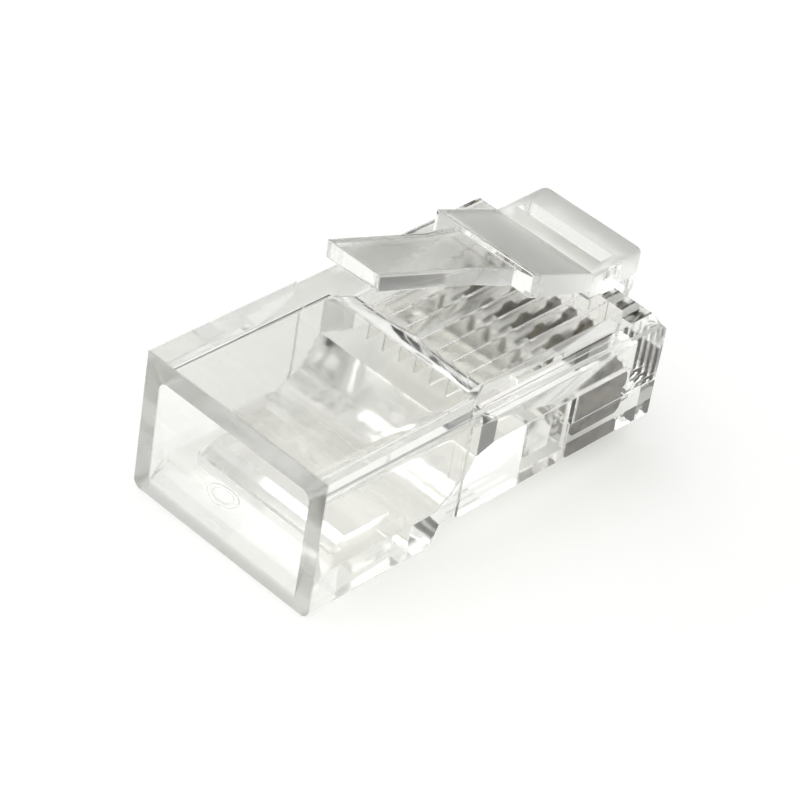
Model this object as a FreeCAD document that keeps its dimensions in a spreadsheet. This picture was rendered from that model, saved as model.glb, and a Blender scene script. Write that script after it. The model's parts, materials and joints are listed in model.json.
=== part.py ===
import FreeCAD, Part
import Sketcher
import math
import os

# Clear 8-position, 8-contact modular plug for round cable, latch side up, unterminated.
# Every body is drawn with x = 0 at the rear (cable entry) face, +X towards the nose, +Y across the
# width and z = 0 at the underside of the rear block. One placement then moves the rear face back by
# half the overall length, so the origin is the middle of the plug's footprint. Millimetres.

doc = FreeCAD.newDocument("ModularPlug")
sheet = doc.addObject("Spreadsheet::Sheet", "Dims")

DIMENSIONS = {
    # outer form
    "overall_length": 22.87,      # rear face to the front of the latch root
    "root_overhang": 0.75,        # the latch root stands this far in front of the nose face
    "body_height": 7.6,           # underside of the rear block to the flat top
    "front_width": 11.68,         # standard width over the front section
    "side_step": 0.14,            # the rear block is this much narrower on each side
    "shoulder_start": 9.0,        # the full-width front section begins here
    "front_underside": 1.45,      # the front section's underside, above the rear block's
    "rear_foot": 6.9,             # length of the rear block's flat underside
    "foot_ramp": 1.1,             # the rear block's front lower corner slopes up over this length
    "nose_bevel_length": 1.02,
    "nose_bevel_height": 1.17,
    "ledge_start": 10.4,          # the stepped top edges run from here to the nose
    "ledge_width": 0.25,
    "ledge_drop_rear": 0.35,
    "ledge_drop_nose": 1.0,
    "grip_relief_start": 2.1,     # shallow wedge under the rear block, for the crimping tool
    "grip_relief_end": 5.9,
    "grip_relief_depth": 0.32,
    "corner_radius": 0.45,
    # cable cavity
    "side_wall": 0.9,             # plastic on each side of the cable cavity
    "cavity_floor": 1.9,
    "top_wall": 1.1,              # plastic above the cable cavity
    "cavity_length": 10.1,
    "cavity_corner": 0.5,
    "floor_ramp_start": 8.9,
    "floor_ramp_radius": 2.0,
    "mouth_radius": 1.7,          # bell mouth where the cable comes in
    "funnel_length": 1.4,         # the cavity narrows to the wire channels over this length
    # wire channels and contact slots
    "pitch": 1.02,
    "rib_thickness": 0.1,         # between two wire channels
    "channel_floor": 4.2,
    "channel_cover": 1.9,         # plastic above the wire channels
    "channel_overrun": 0.1,       # the channels end this far past the blades
    "slot_rear_clearance": 0.15,  # behind a blade
    "slot_front_clearance": 0.15, # in front of a blade
    "slot_clearance": 0.02,       # each side of a blade
    "guide_rib": 0.4,             # between two of the guides for the socket's spring wires
    "guide_lead": 0.5,            # the guides begin this far behind the blades
    "guide_depth": 1.1,
    # strain-relief bars
    "window_start": 2.3,
    "window_length": 4.5,
    "window_margin": 0.7,         # from the cavity's side to the jacket bar's window
    "bar_start": 3.2,
    "bar_length": 2.7,
    "bar_bottom": 0.35,
    "bar_ridge": 2.38,
    "bar_slope_end": 3.1,         # the bar's rear face rises to its flat top over this length
    "web_thickness": 0.45,
    "wire_window_setback": 3.9,   # from the window's rear edge to the back of the blades
    "wire_window_length": 3.0,
    "wire_window_margin": 0.17,   # beyond the outer channels on each side
    "wire_bar_inset": 0.5,
    "wire_bar_length": 1.6,
    "wire_bar_bottom": 1.9,
    "wire_bar_top": 3.95,
    "wire_web_bottom": 3.0,
    "wire_web_top": 3.3,
    # latch
    "root_width": 6.36,
    "root_length": 3.57,
    "root_rise": 1.5,             # the root and the hinge stand this far above the flat top
    "root_lip_drop": 1.3,         # the root's front face comes down this far in front of the nose
    "root_pocket_setback": 1.0,   # from the root's rear end
    "root_pocket_length": 0.9,
    "root_pocket_depth": 0.9,
    "root_pocket_wall": 0.5,
    "root_rounding": 0.4,
    "hinge_rise": 0.4,
    "hub_length": 4.4,
    "hub_width": 6.2,
    "hub_rise": 1.75,             # how far the hub's top climbs from the root to its shoulders
    "lever_step": 0.35,
    "lever_width": 3.24,
    "lever_flare": 0.3,
    "flare_length": 2.4,
    "lever_length": 8.9,
    "tail_rise": 4.55,            # tail top above the root top
    "lever_thickness": 1.0,
    # contact blades
    "blade_thickness": 0.35,
    "blade_setback": 5.27,        # from the front of the latch root to the back of the blades
    "blade_length": 3.3,
    "blade_bottom": 1.6,
    "blade_shoulder": 3.8,
    "tip_height": 0.8,
    "tip_base": 1.3,
    "tip_top": 0.45,
    "barb_height": 2.6,
    "barb_size": 0.22,
    "blade_nose_radius": 0.5,
}

CONTACT_COUNT = 8

# Places that follow from the sizes above. Each is an expression, so it moves when its sizes change.
NOSE = "(Dims.overall_length - Dims.root_overhang)"
ROOT_REAR = "(Dims.overall_length - Dims.root_length)"
ROOT_TOP = "(Dims.body_height + Dims.root_rise)"
ROOT_LIP = "(Dims.body_height - Dims.root_lip_drop)"
HUB_REAR = "(Dims.overall_length - Dims.root_length - Dims.hub_length)"
TAIL = "(Dims.overall_length - Dims.root_length - Dims.hub_length - Dims.lever_length)"
CAVITY_CEILING = "(Dims.body_height - Dims.top_wall)"
CHANNEL_CEILING = "(Dims.body_height - Dims.channel_cover)"
BLADE_START = "(Dims.overall_length - Dims.blade_setback)"
BLADE_END = "(Dims.overall_length - Dims.blade_setback + Dims.blade_length)"
HINGE_HEIGHT = "(Dims.body_height + Dims.hinge_rise)"
REAR_WIDTH = "(Dims.front_width - 2 * Dims.side_step)"
CAVITY_WIDTH = "(Dims.front_width - 2 * Dims.side_step - 2 * Dims.side_wall)"
CHANNEL_WIDTH = "(Dims.pitch - Dims.rib_thickness)"
GUIDE_WIDTH = "(Dims.pitch - Dims.guide_rib)"
GUIDE_START = "(Dims.overall_length - Dims.blade_setback - Dims.guide_lead)"
WINDOW_WIDTH = "(Dims.front_width - 2 * Dims.side_step - 2 * Dims.side_wall - 2 * Dims.window_margin)"
WIRE_WINDOW_START = "(Dims.overall_length - Dims.blade_setback - Dims.wire_window_setback)"
WIRE_WINDOW_END = "(%s + Dims.wire_window_length)" % WIRE_WINDOW_START
WIRE_WINDOW_WIDTH = "(%d * Dims.pitch + 2 * Dims.wire_window_margin)" % CONTACT_COUNT
WIRE_BAR_START = "(%s + Dims.wire_bar_inset)" % WIRE_WINDOW_START

for row, (alias, size) in enumerate(DIMENSIONS.items(), start=1):
    sheet.set("A%d" % row, alias)
    sheet.set("B%d" % row, str(size))
    sheet.setAlias("B%d" % row, alias)
doc.recompute()


def plane_of(body, role):
    """The body's own origin plane with this role."""
    return next(item for item in body.Origin.OriginFeatures if item.Role == role)


def new_body(label, y_shift="0"):
    """A body whose rear-face frame sits half the overall length behind the origin."""
    body = doc.addObject("PartDesign::Body", label)
    body.Label = label
    body.setExpression("Placement.Base.x", "-Dims.overall_length / 2")
    body.setExpression("Placement.Base.y", y_shift)
    doc.recompute()
    return body


def new_sketch(body, name, role, offset=None):
    """An empty sketch on one of the body's planes, lifted off it by an expression."""
    sketch = body.newObject("Sketcher::SketchObject", name)
    sketch.AttachmentSupport = [(plane_of(body, role), "")]
    sketch.MapMode = "FlatFace"
    if offset is not None:
        sketch.setExpression("AttachmentOffset.Base.z", offset)
    return sketch


def draw_outline(sketch, corners):
    """A closed polygon whose every corner is tied to the sheet by two expressions."""
    count = len(corners)
    start = [FreeCAD.Vector(10 * math.cos(2 * math.pi * i / count), 10 * math.sin(2 * math.pi * i / count), 0)
             for i in range(count)]
    lines = [sketch.addGeometry(Part.LineSegment(start[i], start[(i + 1) % count]), False)
             for i in range(count)]
    for i in range(count):
        sketch.addConstraint(Sketcher.Constraint("Coincident", lines[i], 2, lines[(i + 1) % count], 1))
    for line, (across, up) in zip(lines, corners):
        for kind, expression in (("DistanceX", across), ("DistanceY", up)):
            index = sketch.addConstraint(Sketcher.Constraint(kind, -1, 1, line, 1, 1.0))
            sketch.setExpression("Constraints[%d]" % index, expression)


def outline_sketch(body, name, role, corners, offset=None):
    sketch = new_sketch(body, name, role, offset)
    draw_outline(sketch, corners)
    doc.recompute()
    return sketch


def rectangle(left, bottom, right, top):
    return [(left, bottom), (right, bottom), (right, top), (left, top)]


def add_across(body, name, corners, width):
    """Pad a side profile equally to both sides of the plug's middle plane."""
    pad = body.newObject("PartDesign::Pad", name)
    pad.Profile = outline_sketch(body, name + "_profile", "XZ_Plane", corners)
    pad.SideType = "Symmetric"
    pad.setExpression("Length", width)
    doc.recompute()
    return pad


def cut_across(body, name, corners, width):
    """Cut a side profile equally to both sides of the plug's middle plane."""
    before = body.Shape.Volume
    pocket = body.newObject("PartDesign::Pocket", name)
    pocket.Profile = outline_sketch(body, name + "_profile", "XZ_Plane", corners)
    pocket.SideType = "Symmetric"
    pocket.setExpression("Length", width)
    doc.recompute()
    check_cut(body, name, before)
    return pocket


def cut_forward(body, name, corners, start, length):
    """Cut a section that faces the rear, from x = start towards the nose."""
    before = body.Shape.Volume
    pocket = body.newObject("PartDesign::Pocket", name)
    pocket.Profile = outline_sketch(body, name + "_section", "YZ_Plane", corners, start)
    pocket.Reversed = True
    pocket.setExpression("Length", length)
    doc.recompute()
    check_cut(body, name, before)
    return pocket


def check_cut(body, name, before):
    if body.Shape.Volume >= before - 1e-6:
        raise ValueError(name + " removed nothing")


def round_edges(body, name, radius, wanted):
    """Fillet the edges of the body's tip whose middle point satisfies wanted(point, direction)."""
    tip = body.Tip
    names = []
    for number, edge in enumerate(tip.Shape.Edges, start=1):
        middle = edge.valueAt((edge.FirstParameter + edge.LastParameter) / 2)
        along = edge.tangentAt((edge.FirstParameter + edge.LastParameter) / 2)
        if wanted(middle, along):
            names.append("Edge%d" % number)
    if not names:
        raise ValueError(name + " found no edge")
    fillet = body.newObject("PartDesign::Fillet", name)
    fillet.Base = (tip, names)
    fillet.setExpression("Radius", radius)
    doc.recompute()
    if "Invalid" in fillet.State:
        raise ValueError(name + " failed")
    return fillet


def near(value, target):
    return abs(value - target) < 1e-3


# ---------------------------------------------------------------- housing

def size(expression):
    """The present value of a size or place, for finding edges by where they lie."""
    return float(sheet.evalExpression(expression))


def latch_root(body):
    """Thick rounded block at the nose, which carries the latch and overhangs the nose a little."""
    add_across(body, "LatchRoot", rectangle(
        ROOT_REAR, ROOT_LIP + " - 1", "Dims.overall_length", ROOT_TOP),
        "Dims.root_width")
    half_root = size("Dims.root_width") / 2
    round_edges(body, "RootCorners", "Dims.root_rounding", lambda p, d: (
        near(p.x, size("Dims.overall_length")) and near(abs(p.y), half_root) and near(abs(d.z), 1)))
    round_edges(body, "RootFrontEdge", "Dims.root_rounding * 0.6", lambda p, d: (
        near(p.x, size("Dims.overall_length")) and near(p.z, size(ROOT_TOP)) and near(abs(d.y), 1)))
    cut_across(body, "RootLip", [
        (NOSE, ROOT_LIP + " - 2"),
        ("Dims.overall_length + 1", ROOT_LIP + " - 2"),
        ("Dims.overall_length + 1", ROOT_LIP + " + 1"),
        (NOSE, ROOT_LIP + " - 0.4")], "Dims.root_width + 1")


def housing_block(body):
    """Full-width front section with its bevelled nose, and the lower, slightly narrower rear block."""
    add_across(body, "FrontSection", [
        ("Dims.shoulder_start", "Dims.front_underside"),
        (NOSE, "Dims.front_underside"),
        (NOSE, "Dims.body_height - Dims.nose_bevel_height"),
        (NOSE + " - Dims.nose_bevel_length", "Dims.body_height"),
        ("Dims.shoulder_start", "Dims.body_height")], "Dims.front_width")
    add_across(body, "RearBlock", rectangle("0", "0", "Dims.ledge_start", "Dims.body_height"),
               REAR_WIDTH)
    half_rear = size(REAR_WIDTH) / 2
    round_edges(body, "RearLowerEdges", "Dims.corner_radius", lambda p, d: (
        near(abs(p.y), half_rear) and near(p.z, 0) and near(abs(d.x), 1)))
    cut_across(body, "FootRamp", [
        ("Dims.rear_foot", "-1"),
        ("Dims.ledge_start + 1", "-1"),
        ("Dims.ledge_start + 1", "Dims.front_underside"),
        ("Dims.rear_foot + Dims.foot_ramp", "Dims.front_underside"),
        ("Dims.rear_foot + Dims.foot_ramp * 0.65", "Dims.front_underside * 0.2"),
        ("Dims.rear_foot", "0")], REAR_WIDTH + " + 1")


def outer_details(body):
    """Stepped top edges, and the crimping tool's relief under the rear block."""
    before = body.Shape.Volume
    ledge = body.newObject("PartDesign::Pocket", "TopLedge")
    ledge.Profile = outline_sketch(body, "TopLedge_profile", "XZ_Plane", [
        ("Dims.shoulder_start", "Dims.body_height - Dims.ledge_drop_rear"),
        (NOSE + " + 1", "Dims.body_height - Dims.ledge_drop_nose"),
        (NOSE + " + 1", "Dims.body_height + 1"),
        ("Dims.shoulder_start", "Dims.body_height + 1")], "Dims.front_width / 2 - Dims.ledge_width")
    ledge.Reversed = True
    ledge.setExpression("Length", "Dims.ledge_width + 1")
    doc.recompute()
    check_cut(body, "TopLedge", before)
    mirror_feature(body, "TopLedgePair", ledge)
    cut_across(body, "GripRelief", [
        ("Dims.grip_relief_start", "-1"),
        ("Dims.grip_relief_start", "0.03"),
        ("Dims.grip_relief_end - 0.15", "Dims.grip_relief_depth"),
        ("Dims.grip_relief_end", "0.03"),
        ("Dims.grip_relief_end", "-1")], "Dims.front_width + 1")


def mirror_feature(body, name, feature):
    mirror = body.newObject("PartDesign::Mirrored", name)
    mirror.Originals = [feature]
    mirror.MirrorPlane = (plane_of(body, "XZ_Plane"), [""])
    body.Tip = mirror
    doc.recompute()


def cable_cavity(body):
    """Open cavity for the cable's jacket, with a ramp and funnel that lead the wires up to their channels."""
    cut_across(body, "JacketCavity", [
        ("-1", "Dims.cavity_floor"),
        ("Dims.floor_ramp_start", "Dims.cavity_floor"),
        ("Dims.cavity_length", "Dims.channel_floor"),
        ("Dims.cavity_length", CAVITY_CEILING),
        ("-1", CAVITY_CEILING)], CAVITY_WIDTH)
    half_cavity = size(CAVITY_WIDTH) / 2
    round_edges(body, "FloorRampFoot", "Dims.floor_ramp_radius", lambda p, d: (
        near(p.x, size("Dims.floor_ramp_start"))
        and near(p.z, size("Dims.cavity_floor"))
        and near(abs(d.y), 1)))
    round_edges(body, "CavityCeilingCorners", "Dims.cavity_corner", lambda p, d: (
        near(abs(p.y), half_cavity) and near(p.z, size(CAVITY_CEILING)) and near(abs(d.x), 1)))
    round_edges(body, "CableMouth", "Dims.mouth_radius", lambda p, d: (
        near(p.x, 0) and near(p.z, size("Dims.cavity_floor")) and near(abs(d.y), 1)))
    before = body.Shape.Volume
    wide = outline_sketch(body, "FunnelMouth", "YZ_Plane", bevelled_section(
        CAVITY_WIDTH + " / 2", CAVITY_CEILING, "Dims.cavity_corner"),
        "Dims.cavity_length - 0.05")
    narrow = outline_sketch(body, "FunnelThroat", "YZ_Plane", bevelled_section(
        "Dims.pitch * 4", CHANNEL_CEILING, "Dims.cavity_corner / 3"),
        "Dims.cavity_length + Dims.funnel_length")
    funnel = body.newObject("PartDesign::SubtractiveLoft", "Funnel")
    funnel.Profile = wide
    funnel.Sections = [narrow]
    doc.recompute()
    check_cut(body, "Funnel", before)


def bevelled_section(half_width, ceiling, bevel):
    """A funnel section from the channels' floor to a ceiling whose two corners are bevelled."""
    return [
        ("-" + half_width, "Dims.channel_floor"),
        (half_width, "Dims.channel_floor"),
        (half_width, ceiling + " - " + bevel),
        (half_width + " - " + bevel, ceiling),
        ("-" + half_width + " + " + bevel, ceiling),
        ("-" + half_width, ceiling + " - " + bevel)]


def strain_relief_bars(body):
    """Two windows in the underside, each closed by a bar on a thin web that a crimping tool pushes in."""
    cut_across(body, "JacketWindow", rectangle(
        "Dims.window_start", "-1", "Dims.window_start + Dims.window_length", "Dims.cavity_floor + 0.5"),
        WINDOW_WIDTH)
    add_across(body, "JacketBar", [
        ("Dims.window_start - 0.1", "Dims.cavity_floor - Dims.web_thickness"),
        ("Dims.bar_start", "Dims.cavity_floor - Dims.web_thickness"),
        ("Dims.bar_start + 0.3", "Dims.bar_bottom"),
        ("Dims.bar_start + Dims.bar_length", "Dims.bar_bottom"),
        ("Dims.bar_start + Dims.bar_length", "Dims.bar_ridge"),
        ("Dims.bar_slope_end", "Dims.bar_ridge"),
        ("Dims.window_start", "Dims.cavity_floor"),
        ("Dims.window_start - 0.1", "Dims.cavity_floor")], WINDOW_WIDTH + " - 0.4")
    cut_across(body, "WireWindow", rectangle(
        WIRE_WINDOW_START, "0",
        WIRE_WINDOW_END, "Dims.channel_floor + 0.1"),
        WIRE_WINDOW_WIDTH)
    add_across(body, "WireBar", [
        (WIRE_BAR_START, "Dims.wire_bar_bottom"),
        (WIRE_BAR_START + " + Dims.wire_bar_length", "Dims.wire_bar_bottom"),
        (WIRE_BAR_START + " + Dims.wire_bar_length", "Dims.wire_web_bottom"),
        (WIRE_WINDOW_END + " + 0.1", "Dims.wire_web_bottom"),
        (WIRE_WINDOW_END + " + 0.1", "Dims.wire_web_top"),
        (WIRE_BAR_START + " + Dims.wire_bar_length", "Dims.wire_web_top"),
        (WIRE_BAR_START + " + Dims.wire_bar_length * 0.6", "Dims.wire_bar_top"),
        (WIRE_BAR_START, "Dims.wire_bar_top")], WIRE_WINDOW_WIDTH + " - 0.5")


def repeat_across(body, name, feature):
    """Repeat one contact position's cut at the contact pitch."""
    pattern = body.newObject("PartDesign::LinearPattern", name)
    pattern.Originals = [feature]
    pattern.Direction = (plane_of(body, "XZ_Plane"), [""])
    pattern.Reversed = True
    pattern.Mode = "Spacing"
    pattern.Occurrences = CONTACT_COUNT
    pattern.setExpression("Offset", "Dims.pitch")
    body.Tip = pattern
    doc.recompute()
    return pattern


def contact_positions(body):
    """A wire channel, a blade slot and a guide for the socket's spring at each of the eight positions."""
    first = "-Dims.pitch * 3.5"
    channel = cut_forward(body, "WireChannel", rectangle(
        first + " - " + CHANNEL_WIDTH + " / 2", "Dims.channel_floor",
        first + " + " + CHANNEL_WIDTH + " / 2", CHANNEL_CEILING),
        "Dims.cavity_length + Dims.funnel_length - 0.1",
        BLADE_END + " + Dims.channel_overrun - Dims.cavity_length - Dims.funnel_length + 0.1")
    repeat_across(body, "WireChannels", channel)
    half_slot = "(Dims.blade_thickness / 2 + Dims.slot_clearance)"
    slot = cut_forward(body, "BladeSlot", rectangle(
        first + " - " + half_slot, "0", first + " + " + half_slot, "Dims.channel_floor + 0.1"),
        BLADE_START + " - Dims.slot_rear_clearance",
        "Dims.slot_rear_clearance + Dims.blade_length + Dims.slot_front_clearance")
    repeat_across(body, "BladeSlots", slot)
    guide = cut_forward(body, "SpringGuide", rectangle(
        first + " - " + GUIDE_WIDTH + " / 2", "0",
        first + " + " + GUIDE_WIDTH + " / 2", "Dims.front_underside + Dims.guide_depth"),
        GUIDE_START, NOSE + " - " + GUIDE_START + " + 1")
    repeat_across(body, "SpringGuides", guide)


def root_pocket(body):
    """Cored recess in the top of the latch root, so that the thick section cools evenly."""
    cut_across(body, "RootPocket", rectangle(
        ROOT_REAR + " + Dims.root_pocket_setback", ROOT_TOP + " - Dims.root_pocket_depth",
        ROOT_REAR + " + Dims.root_pocket_setback + Dims.root_pocket_length", ROOT_TOP + " + 1"),
        "Dims.root_width - 2 * Dims.root_pocket_wall")


def build_housing():
    body = new_body("housing")
    latch_root(body)
    housing_block(body)
    outer_details(body)
    cable_cavity(body)
    strain_relief_bars(body)
    contact_positions(body)
    root_pocket(body)
    return body


# ------------------------------------------------------------------ latch

def build_latch():
    """Sprung lever: a wide hub with two locking shoulders, then a narrow lever that rises to the tail."""
    body = new_body("latch")
    hub_top = ROOT_TOP + " + Dims.hub_rise"
    tail_top = ROOT_TOP + " + Dims.tail_rise"
    add_across(body, "Lever", [
        (ROOT_REAR, HINGE_HEIGHT),
        (ROOT_REAR, ROOT_TOP),
        (HUB_REAR, hub_top),
        (HUB_REAR, hub_top + " - Dims.lever_step"),
        (TAIL, tail_top),
        (TAIL + " + 0.05", tail_top + " - Dims.lever_thickness"),
        (HUB_REAR, hub_top + " - Dims.lever_step - Dims.lever_thickness")], "Dims.hub_width")
    before = body.Shape.Volume
    half_lever = "Dims.lever_width / 2"
    side = body.newObject("PartDesign::Pocket", "LeverSide")
    side.Profile = outline_sketch(body, "LeverSide_profile", "XY_Plane", [
        (TAIL + " - 1", half_lever),
        (HUB_REAR + " - Dims.flare_length", half_lever),
        (HUB_REAR + " - Dims.flare_length / 4", half_lever + " + Dims.lever_flare"),
        (HUB_REAR, half_lever + " + Dims.lever_flare"),
        (HUB_REAR, "Dims.hub_width / 2 + 1"),
        (TAIL + " - 1", "Dims.hub_width / 2 + 1")])
    side.Reversed = True
    side.setExpression("Length", ROOT_TOP + " + Dims.tail_rise + 1")
    doc.recompute()
    check_cut(body, "LeverSide", before)
    mirror_feature(body, "LeverSides", side)
    return body


# --------------------------------------------------------------- contacts

def build_contact(number):
    """One stamped blade: two spikes that pierce the wire, a retaining barb and a rounded socket edge."""
    shift = "Dims.pitch * (%d - 4.5)" % number
    body = new_body("contact_%d" % number, shift)
    tip = "Dims.blade_shoulder + Dims.tip_height"
    slope = "(Dims.tip_base - Dims.tip_top) / 2"
    add_across(body, "Blade", [
        (BLADE_START, "Dims.blade_bottom"),
        (BLADE_END, "Dims.blade_bottom"),
        (BLADE_END, "Dims.barb_height"),
        (BLADE_END + " - Dims.barb_size", "Dims.barb_height + Dims.barb_size / 2"),
        (BLADE_END + " - Dims.barb_size", "Dims.barb_height + Dims.barb_size * 2"),
        (BLADE_END, "Dims.barb_height + Dims.barb_size * 3"),
        (BLADE_END, "Dims.blade_shoulder"),
        (BLADE_END + " - " + slope, tip),
        (BLADE_END + " - " + slope + " - Dims.tip_top", tip),
        (BLADE_END + " - Dims.tip_base", "Dims.blade_shoulder"),
        (BLADE_START + " + Dims.tip_base", "Dims.blade_shoulder"),
        (BLADE_START + " + " + slope + " + Dims.tip_top", tip),
        (BLADE_START + " + " + slope, tip),
        (BLADE_START, "Dims.blade_shoulder")], "Dims.blade_thickness")
    blade_front = size(BLADE_END)
    round_edges(body, "SocketEdge", "Dims.blade_nose_radius", lambda p, d: (
        near(p.x, blade_front) and near(p.z, size("Dims.blade_bottom")) and near(abs(d.y), 1)))
    return body


bodies = [build_housing(), build_latch()]
bodies += [build_contact(number) for number in range(1, CONTACT_COUNT + 1)]
doc.recompute()

for item in doc.Objects:
    if "Invalid" in item.State or "Error" in item.State:
        raise ValueError(item.Label + " failed: " + str(item.State))

os.makedirs("parts", exist_ok=True)
for body in bodies:
    if body.Shape.isNull() or not body.Shape.isValid() or len(body.Shape.Solids) != 1:
        raise ValueError(body.Label + " isn't one valid solid")
    body.Shape.exportStep("parts/%s.step" % body.Label)
    print(body.Label, "volume %.3f mm3" % body.Shape.Volume, "faces", len(body.Shape.Faces))
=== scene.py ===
# %% [markdown]
# # A clear modular plug
#
# This lesson dresses the CAD model of a clear 8-position modular plug. The plug is one polycarbonate
# moulding with eight stamped contacts in it. Clear plastic has almost no colour of its own: what the eye
# reads is the floor and the lights, bent by the walls and mirrored inside them. So most of the work is
# in the shape of the walls, in their small edge radii, and in a studio that gives them something to bend.

import bmesh
import bpy
import json
import math
from mathutils import Matrix, Vector


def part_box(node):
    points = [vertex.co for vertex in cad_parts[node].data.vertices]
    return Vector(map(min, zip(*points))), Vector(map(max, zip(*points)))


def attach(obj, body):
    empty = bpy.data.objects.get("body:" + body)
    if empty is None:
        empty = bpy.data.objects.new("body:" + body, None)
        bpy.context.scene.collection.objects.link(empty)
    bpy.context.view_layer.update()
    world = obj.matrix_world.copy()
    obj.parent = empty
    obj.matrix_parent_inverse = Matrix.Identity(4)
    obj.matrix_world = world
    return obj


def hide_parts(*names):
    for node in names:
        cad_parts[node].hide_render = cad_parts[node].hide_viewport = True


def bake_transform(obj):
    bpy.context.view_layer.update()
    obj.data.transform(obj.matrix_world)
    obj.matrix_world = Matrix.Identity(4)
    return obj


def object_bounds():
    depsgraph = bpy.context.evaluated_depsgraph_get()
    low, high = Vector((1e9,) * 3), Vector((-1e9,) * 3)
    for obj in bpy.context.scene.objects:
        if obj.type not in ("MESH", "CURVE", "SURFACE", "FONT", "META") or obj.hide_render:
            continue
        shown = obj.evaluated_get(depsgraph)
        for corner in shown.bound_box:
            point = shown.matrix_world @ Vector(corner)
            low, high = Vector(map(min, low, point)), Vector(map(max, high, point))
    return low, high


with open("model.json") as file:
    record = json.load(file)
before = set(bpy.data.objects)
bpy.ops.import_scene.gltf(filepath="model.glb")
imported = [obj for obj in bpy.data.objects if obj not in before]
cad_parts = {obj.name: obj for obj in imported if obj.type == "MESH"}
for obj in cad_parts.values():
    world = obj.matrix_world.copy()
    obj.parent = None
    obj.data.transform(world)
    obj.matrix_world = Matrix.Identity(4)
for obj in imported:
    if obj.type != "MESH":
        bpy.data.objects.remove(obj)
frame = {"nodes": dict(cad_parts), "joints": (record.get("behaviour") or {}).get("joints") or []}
CAD_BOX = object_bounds()
MM = 0.001
scene = bpy.context.scene
print("nodes:", sorted(frame["nodes"]))
print("CAD box:", CAD_BOX)

# %% [markdown]
# ## Colours and nodes
#
# Colours are written as the sRGB hex codes that a paint chart uses. Shaders work with linear light, so
# one function turns the first into the second. A second small function adds a node, with its settings and
# with whatever goes into its inputs, which keeps each material short enough to read in one go.

# %% Turn paint-chart colours to linear light
def linear(hex_code):
    """A linear colour from an sRGB hex code such as "C8A24A"."""
    channels = [int(hex_code[i:i + 2], 16) / 255 for i in (0, 2, 4)]
    return [c / 12.92 if c <= 0.04045 else ((c + 0.055) / 1.055) ** 2.4 for c in channels] + [1.0]


print("a mid grey 808080 is", [round(c, 3) for c in linear("808080")])

# %% Add nodes and start materials
def add_node(tree, kind, inputs=None, **settings):
    """A new node with its settings. Each input takes a value, or the output that feeds it."""
    node = tree.nodes.new(kind)
    for name, value in settings.items():
        setattr(node, name, value)
    for name, feed in (inputs or {}).items():
        if isinstance(feed, bpy.types.NodeSocket):
            tree.links.new(feed, node.inputs[name])
        else:
            node.inputs[name].default_value = feed
    return node


def new_material(name):
    """An empty node material, its node tree and its output node."""
    material = bpy.data.materials.new(name)
    material.use_nodes = True
    material.node_tree.nodes.clear()
    print("material:", name)
    return material, material.node_tree, material.node_tree.nodes.new("ShaderNodeOutputMaterial")


# A Mix node set to colours takes its two colours at these inputs.
FIRST_COLOUR = 6
SECOND_COLOUR = 7
print("a Mix node takes its colours at inputs", FIRST_COLOUR, "and", SECOND_COLOUR)

# %% [markdown]
# ## Camera
#
# The plug is looked at from behind and to one side, from a little above, by a long lens about 15 cm away.
# The camera could be turned by angles, but its roll is easier to give as the three directions that it
# looks along, so those directions make the matrix.

# %% Aim a camera
def aim_camera(target, azimuth, elevation, roll, distance, lens):
    """A camera at this distance from the target, turned about its own view line by roll."""
    az, el, turn = math.radians(azimuth), math.radians(elevation), math.radians(roll)
    back = Vector((-math.cos(az) * math.cos(el), -math.sin(az) * math.cos(el), math.sin(el)))
    right = (-back).cross(Vector((0, 0, 1))).normalized()
    up = right.cross(-back)
    across = right * math.cos(turn) + up * math.sin(turn)
    upright = up * math.cos(turn) - right * math.sin(turn)
    data = bpy.data.cameras.new("plug_camera")
    data.lens = lens
    data.clip_start = 5 * MM
    camera = bpy.data.objects.new("plug_camera", data)
    scene.collection.objects.link(camera)
    turned = Matrix((across, upright, back)).transposed().to_4x4()
    camera.matrix_world = Matrix.Translation(target + back * distance) @ turned
    return camera


camera = aim_camera(Vector((-0.685, 0, 4.0)) * MM, azimuth=38.95, elevation=37.2, roll=9.77,
                    distance=151.9 * MM, lens=149.8)
camera.data.shift_y = -0.0084
scene.camera = camera
scene.view_settings.view_transform = "Standard"
print("camera at", [round(c / MM, 1) for c in camera.location], "mm")

# %% [markdown]
# ## Floor
#
# The floor is a plain white card. It could be a glowing sheet, but that takes no shadow. So it gets most
# of its white from its own colour, and a small glow that only the camera, mirrors and clear plastic see
# lifts it to paper white.

# %% Choose the rays that see the lift
def card_material(colour, lift):
    """Matt white card that looks a little brighter to the rays that show it."""
    material, tree, output = new_material("matt white card")
    path = add_node(tree, "ShaderNodeLightPath")
    shown = add_node(tree, "ShaderNodeMath", operation="MAXIMUM",
                     inputs={0: path.outputs["Is Camera Ray"], 1: path.outputs["Is Glossy Ray"]})
    shown = add_node(tree, "ShaderNodeMath", operation="MAXIMUM",
                     inputs={0: shown.outputs[0], 1: path.outputs["Is Transmission Ray"]})
    glow = add_node(tree, "ShaderNodeMath", operation="MULTIPLY", inputs={0: shown.outputs[0], 1: lift})
    card = add_node(tree, "ShaderNodeBsdfDiffuse", inputs={"Color": linear(colour)})
    light = add_node(tree, "ShaderNodeEmission", inputs={"Strength": glow.outputs[0]})
    both = add_node(tree, "ShaderNodeAddShader", inputs={0: card.outputs[0], 1: light.outputs[0]})
    tree.links.new(both.outputs[0], output.inputs["Surface"])
    return material


white_card = card_material(colour="F6F6F6", lift=0.16)

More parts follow.
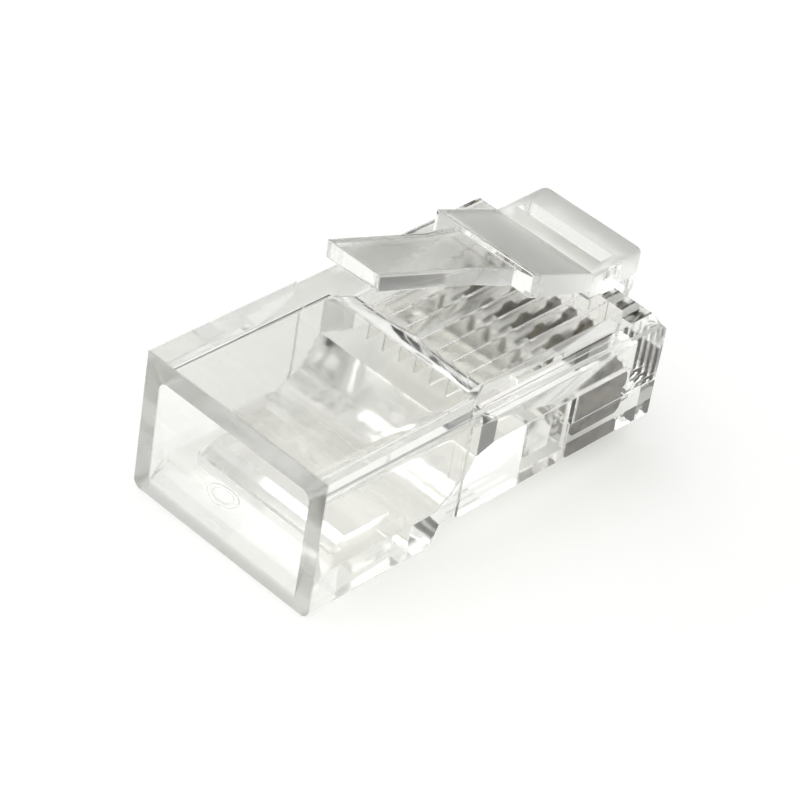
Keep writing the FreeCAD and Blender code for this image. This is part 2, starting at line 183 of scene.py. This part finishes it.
# %% Lay the floor
def lay_floor(side, material):
    """A square sheet at the height on which the plug rests."""
    shape = bmesh.new()
    bmesh.ops.create_grid(shape, x_segments=1, y_segments=1, size=side / 2)
    mesh = bpy.data.meshes.new("floor")
    shape.to_mesh(mesh)
    shape.free()
    mesh.materials.append(material)
    sheet = bpy.data.objects.new("floor", mesh)
    scene.collection.objects.link(sheet)
    return sheet


floor = lay_floor(side=1.2, material=white_card)
print("floor half side", floor.dimensions.x / 2, "m")

# %% [markdown]
# ## Lamps and room
#
# Two large soft lamps stand on the far side of the plug, one high and one low. Clear plastic needs some
# dark in the room as well: where every direction is white, its walls vanish. So the room is a pale grey
# with one dim side, ahead of the plug's nose, which the walls mirror as their dark accents.

# %% Set the lamps
PLUG_MIDDLE = Vector((0, 0, 4)) * MM


def softbox(name, centre, width, height, glow):
    """A white rectangular lamp that faces the plug and looks this bright, whatever its size."""
    data = bpy.data.lights.new(name, "AREA")
    data.shape = "RECTANGLE"
    data.size, data.size_y = width * MM, height * MM
    data.energy = glow * math.pi * data.size * data.size_y
    lamp = bpy.data.objects.new(name, data)
    lamp.location = Vector(centre) * MM
    lamp.rotation_euler = (lamp.location - PLUG_MIDDLE).to_track_quat("Z", "Y").to_euler()
    scene.collection.objects.link(lamp)
    print(name, "stands", round((lamp.location - PLUG_MIDDLE).length / MM), "mm away")


softbox("window_light", (-66, 112, 180), width=240, height=200, glow=1.5)
softbox("low_light", (20, 235, 55), width=280, height=100, glow=0.9)

# %% Paint the room
# Cosines of the angle to the middle of the dim side, where the dimming starts and where it is full.
DIM_STARTS = 0.84
DIM_FULL = 0.985


def pale_room(bright, dim, dim_side):
    """A plain room that is pale all round and dim towards one side."""
    world = bpy.data.worlds.new("pale room")
    scene.world = world
    world.use_nodes = True
    tree = world.node_tree
    direction = add_node(tree, "ShaderNodeTexCoord").outputs["Generated"]
    towards = add_node(tree, "ShaderNodeVectorMath", operation="DOT_PRODUCT",
                       inputs={0: direction, 1: Vector(dim_side).normalized()})
    share = add_node(tree, "ShaderNodeMapRange", interpolation_type="SMOOTHSTEP", inputs={
        "Value": towards.outputs["Value"], "From Min": DIM_STARTS, "From Max": DIM_FULL})
    wall = add_node(tree, "ShaderNodeMix", data_type="RGBA", inputs={
        0: share.outputs["Result"], FIRST_COLOUR: linear(bright), SECOND_COLOUR: linear(dim)})
    tree.links.new(wall.outputs[2], tree.nodes["Background"].inputs["Color"])


pale_room(bright="DCDCDA", dim="30302F", dim_side=(0.74, 0.52, 0.36))
print("the dim side is", round(2 * math.degrees(math.acos(DIM_STARTS))), "degrees wide")

# %% Let light bounce
# Light is mirrored many times between the walls of a clear moulding. A path that stops too early is black.
LONGEST_PATH = 64
for limit in ("max_bounces", "transmission_bounces", "glossy_bounces", "transparent_max_bounces"):
    setattr(scene.cycles, limit, LONGEST_PATH)
print("a path of light may have", LONGEST_PATH, "steps")

# %% [markdown]
# ## Clear polycarbonate: zones of finish
#
# Polycarbonate is moulded against steel, and it copies the steel's finish. Most of this mould is polished,
# never quite evenly. The core pins that leave the wire channels are a little rougher. The bell mouth and
# the strain-relief bar behind it are only stoned smooth. The rim round the cable entry is spark-eroded,
# which gives a frost, and so are the latch's hub and the root that carries it, though the recess in the
# root's top is polished again. Separate materials could do this, but a mould changes its finish in the
# middle of a face. So one table says where each zone lies and how much roughness it adds.

# %% List the zones
REAR_FACE = CAD_BOX[0][0]
POLISHED = 0.02
DULLEST_POLISH = 0.10
POLISH_PATCHES_PER_MM = 0.35

# Each limit is an axis, where the zone is over and where it is full, in mm. X counts from the rear face.
RIM = [("X", 0.12, 0.02)]
CHANNELS = [("X", 10.1, 10.3), ("Z", 4.10, 4.20), ("Z", 5.95, 5.85)]
LOW_FLOOR = [("Z", 2.45, 2.25)]
HUB_AND_ROOT = [("X", 15.335, 15.535), ("Z", 7.7, 7.8)]
ROOT_RECESS = [("X", 20.235, 20.295), ("X", 21.275, 21.215), ("Z", 9.06, 9.02)]
ADDED_ROUGHNESS = [(RIM, 0.16), (CHANNELS, 0.03), ([("X", 3.4, 3.2)] + LOW_FLOOR, 0.14),
                   (HUB_AND_ROOT, 0.42), (ROOT_RECESS, -0.42)]
print(len(ADDED_ROUGHNESS), "zones on a polish of", POLISHED, "to", DULLEST_POLISH)

# %% Draw a zone and the roughness
def zone(tree, axes, limits):
    """1 inside all of these limits and 0 outside them, with a soft step at each."""
    inside = 1.0
    for axis, over, full in limits:
        start = REAR_FACE if axis == "X" else 0
        step = add_node(tree, "ShaderNodeMapRange", interpolation_type="SMOOTHSTEP", inputs={
            "Value": axes.outputs[axis], "From Min": start + over * MM, "From Max": start + full * MM})
        inside = add_node(tree, "ShaderNodeMath", operation="MULTIPLY",
                          inputs={0: inside, 1: step.outputs["Result"]}).outputs[0]
    return inside


def mould_finish(tree, place, axes):
    """The roughness that the mould leaves: a polish that drifts over about 3 mm, and the zones."""
    drift = add_node(tree, "ShaderNodeTexNoise", inputs={
        "Vector": place, "Scale": POLISH_PATCHES_PER_MM / MM, "Detail": 3.0})
    rough = add_node(tree, "ShaderNodeMapRange", inputs={
        "Value": drift.outputs["Fac"], "To Min": POLISHED, "To Max": DULLEST_POLISH}).outputs["Result"]
    for limits, added in ADDED_ROUGHNESS:
        rough = add_node(tree, "ShaderNodeMath", operation="MULTIPLY_ADD",
                         inputs={0: zone(tree, axes, limits), 1: added, 2: rough}).outputs[0]
    return rough


most_added = max(added for limits, added in ADDED_ROUGHNESS)
print("the roughest zone reaches", round(DULLEST_POLISH + most_added, 2))

# %% [markdown]
# ## Clear polycarbonate: the surface itself
#
# Thick walls sink a little as they cool, so their faces ripple by a few micrometres and bend what is seen
# through them. A bump does this, because it is far too shallow for the mesh. The bell mouth carries a
# small raised oval, the number 0 of the mould's first cavity, and that is a bump too.

# %% Ripple the faces
RIPPLES_PER_MM = 0.6
RIPPLE_HEIGHT = 0.03 * MM
RIPPLE_STRENGTH = 0.25


def rippled_normal(tree, place):
    """Sink marks: one slow wave, a few micrometres high."""
    ripple = add_node(tree, "ShaderNodeTexNoise", inputs={
        "Vector": place, "Scale": RIPPLES_PER_MM / MM, "Detail": 2.0})
    bump = add_node(tree, "ShaderNodeBump", inputs={
        "Height": ripple.outputs["Fac"], "Strength": RIPPLE_STRENGTH, "Distance": RIPPLE_HEIGHT})
    return bump.outputs["Normal"]


print("one ripple is about", round(1 / RIPPLES_PER_MM, 1), "mm long")

# %% Raise the oval
OVAL_CENTRE = Vector((REAR_FACE + 1.15 * MM, 1.2 * MM, 0))
OVAL_HALF_SIZE = (0.36 * MM, 0.78 * MM)
OVAL_HEIGHT = 0.06 * MM
# Half the width of its raised line, at its foot and at its flat top, as shares of the half size.
LINE_FOOT = 0.30
LINE_TOP = 0.08


def raised_oval(tree, place, axes, normal):
    """The bell mouth's oval: a ring where the distance to its centre is about one half size."""
    from_centre = add_node(tree, "ShaderNodeVectorMath", operation="SUBTRACT",
                           inputs={0: place, 1: OVAL_CENTRE})
    in_half_sizes = add_node(tree, "ShaderNodeVectorMath", operation="MULTIPLY", inputs={
        0: from_centre.outputs[0], 1: (1 / OVAL_HALF_SIZE[0], 1 / OVAL_HALF_SIZE[1], 0)})
    reach = add_node(tree, "ShaderNodeVectorMath", operation="LENGTH", inputs={0: in_half_sizes.outputs[0]})
    off_line = add_node(tree, "ShaderNodeMath", operation="SUBTRACT",
                        inputs={0: reach.outputs["Value"], 1: 1.0})
    off_line = add_node(tree, "ShaderNodeMath", operation="ABSOLUTE", inputs={0: off_line.outputs[0]})
    ring = add_node(tree, "ShaderNodeMapRange", interpolation_type="SMOOTHSTEP",
                    inputs={"Value": off_line.outputs[0], "From Min": LINE_FOOT, "From Max": LINE_TOP})
    height = add_node(tree, "ShaderNodeMath", operation="MULTIPLY",
                      inputs={0: ring.outputs["Result"], 1: zone(tree, axes, LOW_FLOOR)})
    bump = add_node(tree, "ShaderNodeBump", inputs={
        "Height": height.outputs[0], "Strength": 1.0, "Distance": OVAL_HEIGHT, "Normal": normal})
    return bump.outputs["Normal"]


print("the oval is", [round(2 * half / MM, 2) for half in OVAL_HALF_SIZE], "mm")

# %% [markdown]
# ## Clear polycarbonate: the shader
#
# The plastic bends light more than window glass does (an index of about 1.58), and a thick wall is a faint
# warm grey. A Principled shader with full transmission does both. The frosted rim is also tinted a darker
# grey. That grey is painted shade on the rear face, and only its roughness is the frost. A renderer gives
# such a solid a black shadow, though a clear moulding throws a light one. So rays to the lamps pass straight
# through instead, and lose a little at each face.

# %% Mix the plastic
POLYCARBONATE_IOR = 1.585
CLEAR = "FCFCFA"
# The rim's darker grey is painted shade on the rear face, not a colour of the plastic.
RIM_PAINTED_SHADE = "C6C6C2"
LET_THROUGH = "F6F6F4"


def clear_polycarbonate():
    """Clear moulded polycarbonate with its zones of finish, painted shade on the rim, ripple, oval and light
    shadow.
    """
    material, tree, output = new_material("clear polycarbonate, moulded")
    place = add_node(tree, "ShaderNodeTexCoord").outputs["Object"]
    axes = add_node(tree, "ShaderNodeSeparateXYZ", inputs={"Vector": place})
    # The rim zone mixes in the painted shade.
    tint_with_rim_shade = add_node(tree, "ShaderNodeMix", data_type="RGBA", inputs={
        0: zone(tree, axes, RIM), FIRST_COLOUR: linear(CLEAR), SECOND_COLOUR: linear(RIM_PAINTED_SHADE)})
    plastic = add_node(tree, "ShaderNodeBsdfPrincipled", inputs={
        "Base Color": tint_with_rim_shade.outputs[2], "Roughness": mould_finish(tree, place, axes),
        "IOR": POLYCARBONATE_IOR, "Transmission Weight": 1.0,
        "Normal": raised_oval(tree, place, axes, rippled_normal(tree, place))})
    passed = add_node(tree, "ShaderNodeBsdfTransparent", inputs={"Color": linear(LET_THROUGH)})
    path = add_node(tree, "ShaderNodeLightPath")
    surface = add_node(tree, "ShaderNodeMixShader", inputs={
        0: path.outputs["Is Shadow Ray"], 1: plastic.outputs[0], 2: passed.outputs[0]})
    tree.links.new(surface.outputs[0], output.inputs["Surface"])
    print("  made with", len(tree.nodes), "nodes")
    return material


polycarbonate = clear_polycarbonate()

# %% Leave the joined faces open
def joined_seam():
    """Where two pieces are one moulding, light goes straight on, so the shared face is left open to it."""
    material, tree, output = new_material("joined seam, no surface")
    open_face = add_node(tree, "ShaderNodeBsdfTransparent")
    tree.links.new(open_face.outputs[0], output.inputs["Surface"])
    return material


seam = joined_seam()

# %% [markdown]
# ## The moulding
#
# A CAD solid arrives as loose triangles with knife edges. A real moulding has small edge radii, and in
# clear plastic those radii are the thin bright and dark lines that draw the part. So a copy of each solid
# is welded, its flat faces are joined up again, and its edges are rounded with the bevel operator.
#
# The latch and the housing are one moulding that bends at the hub. In the model they are two pieces which
# meet face to face, so that shared face is cut out of the housing's wall and carries the open seam material.

# %% Weld a copy of a solid
WELD = 0.0005 * MM
STILL_FLAT = math.radians(0.5)


def welded_copy(node):
    """A copy of a CAD node's mesh with its triangles joined up into flat faces."""
    shape = bmesh.new()
    shape.from_mesh(frame["nodes"][node].data)
    triangles = len(shape.faces)
    bmesh.ops.remove_doubles(shape, verts=shape.verts, dist=WELD)
    bmesh.ops.dissolve_limit(shape, angle_limit=STILL_FLAT, verts=shape.verts, edges=shape.edges)
    print(node, "triangles", triangles, "faces", len(shape.faces))
    return shape


def cut(shape, faces, point, normal):
    """Cut these faces along a plane."""
    # Faces share edges and corners, so each of those is listed once, in the order met.
    edges = list(dict.fromkeys(edge for face in faces for edge in face.edges))
    verts = list(dict.fromkeys(vert for face in faces for vert in face.verts))
    bmesh.ops.bisect_plane(shape, geom=verts + edges + faces, plane_co=point, plane_no=normal, dist=WELD)


print("points closer than", WELD / MM, "mm are welded")

# %% Find the shared face
HINGE = Vector(frame["joints"][0]["pos_m"])
ROOT_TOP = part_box("housing")[1][2]
HUB_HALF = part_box("latch")[1][1]


def on_root_wall(face):
    """True for a face in the upright plane where the latch leaves its root."""
    return abs(face.normal.x) > 0.99 and abs(face.calc_center_median().x - HINGE.x) < 10 * WELD


def on_seam(face):
    """True for the face that the housing and the latch share, above the hinge line."""
    middle = face.calc_center_median()
    return on_root_wall(face) and HINGE.z < middle.z < ROOT_TOP and abs(middle.y) < HUB_HALF


print("the shared face is", round(2 * HUB_HALF / MM, 2), "by", round((ROOT_TOP - HINGE.z) / MM, 2), "mm")

# %% Round the edges
SHARP = math.radians(25)


def is_sharp(edge):
    """True for an edge to round: a clear corner that isn't the rim of the shared face."""
    return (len(edge.link_faces) == 2 and edge.calc_face_angle() > SHARP
            and not any(on_seam(face) for face in edge.link_faces))


def round_off(shape, edges, radius, segments):
    """Round these edges."""
    before = len(shape.faces)
    bmesh.ops.bevel(shape, geom=edges, offset=radius, offset_type="OFFSET", affect="EDGES",
                    segments=segments, profile=0.5, material=-1, clamp_overlap=True)
    print("  rounded", len(edges), "edges, faces", before, "to", len(shape.faces))


print("corners over", round(math.degrees(SHARP)), "degrees are rounded")

# %% [markdown]
# ## Shading beside a rounded edge
#
# Smooth shading across a tiny radius drags its tilt into the flat face beside it, and clear plastic shows
# that as a smear. Normals weighted by face area keep the flats flat. The modifier that does it is baked
# into the mesh, so that nothing is left to be worked out later.

# %% Finish a piece
SHADED_APART = math.radians(35)


def flats_kept_flat(piece):
    """Bake normals that are weighted by face area into the piece's mesh."""
    weighted = piece.modifiers.new("flats stay flat", "WEIGHTED_NORMAL")
    weighted.mode = "FACE_AREA"
    weighted.weight = 100
    weighted.keep_sharp = True
    shaded = piece.evaluated_get(bpy.context.evaluated_depsgraph_get())
    piece.data = bpy.data.meshes.new_from_object(shaded)
    piece.modifiers.clear()


def finished_piece(shape, name):
    """Turn the shape into a shown object of clear plastic, open where it joins the other piece."""
    for face in shape.faces:
        face.material_index = 1 if on_seam(face) else 0
        face.smooth = True
    bmesh.ops.triangulate(shape, faces=[face for face in shape.faces if len(face.verts) > 4])
    open_edges = sum(1 for edge in shape.edges if len(edge.link_faces) != 2)
    mesh = bpy.data.meshes.new(name)
    shape.to_mesh(mesh)
    shape.free()
    mesh.materials.append(polycarbonate)
    mesh.materials.append(seam)
    mesh.set_sharp_from_angle(angle=SHADED_APART)
    piece = bpy.data.objects.new(name, mesh)
    scene.collection.objects.link(piece)
    flats_kept_flat(piece)
    piece.data.name = name
    seam_faces = sum(1 for face in piece.data.polygons if face.material_index == 1)
    print(name, len(piece.data.polygons), "faces,", open_edges, "open edges,", seam_faces, "seam faces")
    return piece


print("faces over", round(math.degrees(SHADED_APART)), "degrees apart are shaded apart")

# %% [markdown]
# ## Housing
#
# The housing's edges get three radii. The mould-maker breaks the long outer ones by hand, which leaves
# the largest. The core pins of the wire channels have rounded tops, which draw the bright streaks along
# the channels. All the other edges are nearly sharp. One bevel for all would be simpler, but it would
# close the fine slots and leave the outside too crisp.

# %% Tell the housing's edges apart
REAR_HALF_WIDTH = 5.7 * MM
FRONT_HALF_WIDTH = CAD_BOX[1][1]
FLAT_TOP = 7.6 * MM
CHANNEL_ROOF = 5.7 * MM
THROAT = REAR_FACE + 11.5 * MM
ON_FACE = 0.01 * MM
LONG_OUTER_EDGE = 1.2 * MM
LONG_CHANNEL_EDGE = 5 * MM
THROAT_REACH = 0.2 * MM


def middle_of(edge):
    """The point halfway along an edge."""
    return (edge.verts[0].co + edge.verts[1].co) / 2


def is_outer(edge):
    """Long edges where two of the plug's own outer faces meet."""
    middle = middle_of(edge)
    half_width = abs(middle.y)
    side = min(abs(half_width - REAR_HALF_WIDTH), abs(half_width - FRONT_HALF_WIDTH)) < ON_FACE
    faces = (side, abs(middle.x - REAR_FACE) < ON_FACE, abs(middle.z - FLAT_TOP) < ON_FACE,
             abs(middle.z) < ON_FACE)
    return edge.calc_length() > LONG_OUTER_EDGE and sum(faces) >= 2


def is_channel_roof(edge):
    """The long corners where a wire channel's walls meet its roof."""
    run = edge.verts[0].co - edge.verts[1].co
    return (abs(middle_of(edge).z - CHANNEL_ROOF) < ON_FACE and abs(run.x) > LONG_CHANNEL_EDGE
            and abs(run.y) < ON_FACE)


def at_throat(edge):
    """The knife edges where the funnel ends and the thin ribs between the channels begin."""
    middle = middle_of(edge)
    return abs(middle.x - THROAT) < THROAT_REACH and middle.z < CHANNEL_ROOF + 5 * ON_FACE


print("the funnel ends", round((THROAT - REAR_FACE) / MM, 2), "mm from the rear face")

# %% Build the housing
OUTER_RADIUS = 0.16 * MM
CHANNEL_RADIUS = 0.3 * MM
INNER_RADIUS = 0.05 * MM


def housing_moulding():
    """The housing with its shared face cut out and its edges rounded."""
    shape = welded_copy("housing")
    cut(shape, [face for face in shape.faces if on_root_wall(face)], HINGE, Vector((0, 0, 1)))
    for side in (-HUB_HALF, HUB_HALF):
        upper = [face for face in shape.faces
                 if on_root_wall(face) and face.calc_center_median().z > HINGE.z]
        cut(shape, upper, Vector((0, side, 0)), Vector((0, 1, 0)))
    round_off(shape, [edge for edge in shape.edges if is_sharp(edge) and is_outer(edge)], OUTER_RADIUS, 3)
    round_off(shape, [edge for edge in shape.edges if is_sharp(edge) and is_channel_roof(edge)],
              CHANNEL_RADIUS, 4)
    round_off(shape, [edge for edge in shape.edges if is_sharp(edge) and not at_throat(edge)],
              INNER_RADIUS, 2)
    return finished_piece(shape, "housing_moulding")


housing = housing_moulding()
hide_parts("housing")
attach(housing, "plug")

# %% [markdown]
# ## Latch
#
# The lever bends over about two millimetres behind the root. It could turn as a rigid piece, but then it
# would tear away from the root that it is moulded with. So the hub is cut into narrow strips there.

# %% Build the latch lever
BEND_LENGTH = 2.0 * MM
BEND_STRIPS = 5
LATCH_RADIUS = 0.08 * MM


def latch_lever():
    """The lever with its edges rounded and its bend cut into strips."""
    shape = welded_copy("latch")
    round_off(shape, [edge for edge in shape.edges if is_sharp(edge)], LATCH_RADIUS, 2)
    for strip in range(1, BEND_STRIPS + 1):
        behind = Vector((HINGE.x - BEND_LENGTH * strip / BEND_STRIPS, 0, 0))
        cut(shape, shape.faces[:], behind, Vector((1, 0, 0)))
    return finished_piece(shape, "latch_lever")


latch = latch_lever()
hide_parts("latch")
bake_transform(latch)

# %% [markdown]
# ## Contacts
#
# The blades are stamped from phosphor bronze and flashed with a very thin layer of gold. Both colours are
# far darker than clean gold, a dull greyish brown. That darkness is painted shade, for how dim the blades
# look deep inside clear plastic. Stamping drags fine lines up and down the faces, and handling dulls them
# in patches. The CAD shape is right as it is, so each blade keeps its mesh and gets this metal.

# %% Mix the plating
# Both colours are painted shade as well as worn plating: far darker than gold, for the dim inside of the
# plug.
WORN_AND_SHADED = "2A261F"
LESS_WORN_BUT_SHADED = "6E6655"
PATCHES_PER_MM = 1.1
PATCH_EDGE = (0.36, 0.60)
SHINIEST = 0.22
DULLEST = 0.46
LINES_PER_MM = 0.8
LINE_STRETCH = (14.0, 1.0, 0.8)
LINE_DEPTH = 0.01 * MM


def gold_plating():
    """Thin, worn gold plating, darkened with painted shade, with patches of about 1 mm and stamping lines.
    """
    material, tree, output = new_material("thin gold plating over phosphor bronze")
    place = add_node(tree, "ShaderNodeTexCoord").outputs["Object"]
    patches = add_node(tree, "ShaderNodeTexNoise", inputs={
        "Vector": place, "Scale": PATCHES_PER_MM / MM, "Detail": 4.0})
    bright = add_node(tree, "ShaderNodeMapRange", interpolation_type="SMOOTHSTEP",
                      inputs={"Value": patches.outputs["Fac"], "From Min": PATCH_EDGE[0],
                              "From Max": PATCH_EDGE[1]})
    colour = add_node(tree, "ShaderNodeMix", data_type="RGBA", inputs={
        0: bright.outputs["Result"], FIRST_COLOUR: linear(WORN_AND_SHADED), SECOND_COLOUR: linear(LESS_WORN_BUT_SHADED)})
    dull = add_node(tree, "ShaderNodeMapRange", inputs={
        "Value": patches.outputs["Fac"], "To Min": SHINIEST, "To Max": DULLEST})
    stretched = add_node(tree, "ShaderNodeMapping", inputs={"Vector": place, "Scale": LINE_STRETCH})
    lines = add_node(tree, "ShaderNodeTexNoise", inputs={
        "Vector": stretched.outputs["Vector"], "Scale": LINES_PER_MM / MM, "Detail": 2.0})
    bump = add_node(tree, "ShaderNodeBump", inputs={
        "Height": lines.outputs["Fac"], "Strength": 0.35, "Distance": LINE_DEPTH})
    metal = add_node(tree, "ShaderNodeBsdfPrincipled", inputs={
        "Base Color": colour.outputs[2], "Metallic": 1.0, "Roughness": dull.outputs["Result"],
        "Normal": bump.outputs["Normal"]})
    tree.links.new(metal.outputs[0], output.inputs["Surface"])
    return material


plating = gold_plating()

# %% Plate the contacts
contacts = sorted(name for name in frame["nodes"] if name.startswith("contact_"))
for name in contacts:
    blade = frame["nodes"][name]
    blade.data.materials.clear()
    blade.data.materials.append(plating)
print("plated", len(contacts), "contacts")
